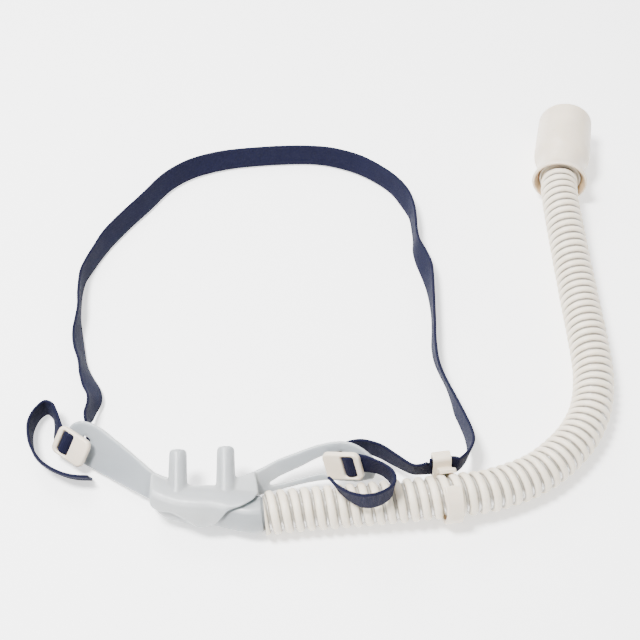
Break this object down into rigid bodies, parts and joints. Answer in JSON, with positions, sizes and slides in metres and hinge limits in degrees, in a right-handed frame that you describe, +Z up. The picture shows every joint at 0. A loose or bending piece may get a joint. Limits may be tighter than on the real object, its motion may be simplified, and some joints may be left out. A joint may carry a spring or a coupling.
{
  "type": "high-flow nasal oxygen cannula",
  "caption": "Silicone nasal cannula with soft prongs, side arms and an elastic head strap, fed by a short corrugated hose with a strap clip and a swivel end connector.",
  "frame": {"origin": "on the floor, under the middle of the cannula and its head strap together", "axes": "+Z up, +Y the way the prongs point, +X the way the hose leaves the manifold"},
  "size_m": [0.2524, 0.2265, 0.029],
  "materials": {
    "silicone": "frosted translucent silicone",
    "manifold": "smooth translucent silicone",
    "hose": "off-white ribs joined by a thin clear film",
    "webbing": "navy elastic webbing with fine cross ribs",
    "moulded_plastic": "warm cream satin moulding"
  },
  "bodies": {
    "cannula": {"nasal_cannula": "silicone", "manifold_elbow": "manifold", "hose": "hose", "hose_cuff": "moulded_plastic", "head_strap": "webbing", "buckle_left": "moulded_plastic", "buckle_right": "moulded_plastic", "tube_clip": "moulded_plastic"},
    "connector": {"swivel_connector": "moulded_plastic"}
  },
  "joints": [
    {"name": "connector_swivel", "type": "hinge", "parent": "cannula", "child": "connector", "pos_m": [0.1419, 0.0756, 0.0133], "axis": [0.1942, 0.981, 0], "continuous": true}
  ]
}
